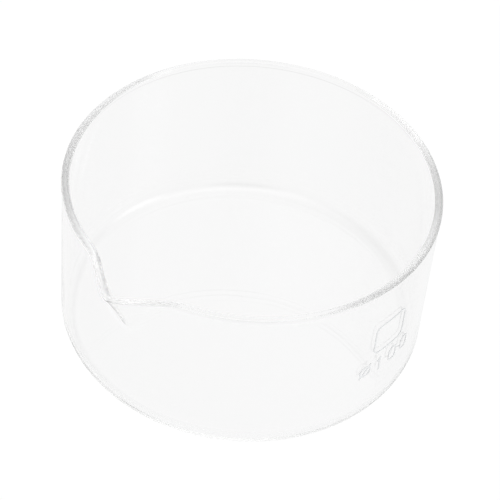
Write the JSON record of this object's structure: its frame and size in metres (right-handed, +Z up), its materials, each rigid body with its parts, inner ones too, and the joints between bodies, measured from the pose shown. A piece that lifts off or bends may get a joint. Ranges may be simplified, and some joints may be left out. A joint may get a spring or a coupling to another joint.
{
  "type": "crystallizing dish",
  "caption": "Low flat-bottomed round glass dish with straight walls, a beaded rim, a V-shaped pouring spout and a printed size mark.",
  "frame": {"origin": "centre of the flat underside, on the axis of the round body", "axes": "+Z up along the body's axis; the pouring spout points along -Y; the printed marks face about +X"},
  "size_m": [0.1004, 0.1078, 0.05],
  "materials": {
    "glass": "clear, fire-polished borosilicate glass",
    "enamel": "pale grey fired enamel print"
  },
  "bodies": {
    "root": {"dish_body": "glass", "mark_diameter_sign": "enamel", "mark_figure_1": "enamel", "mark_figure_0_middle": "enamel", "mark_figure_0_right": "enamel", "mark_writing_frame": "enamel"}
  },
  "joints": []
}
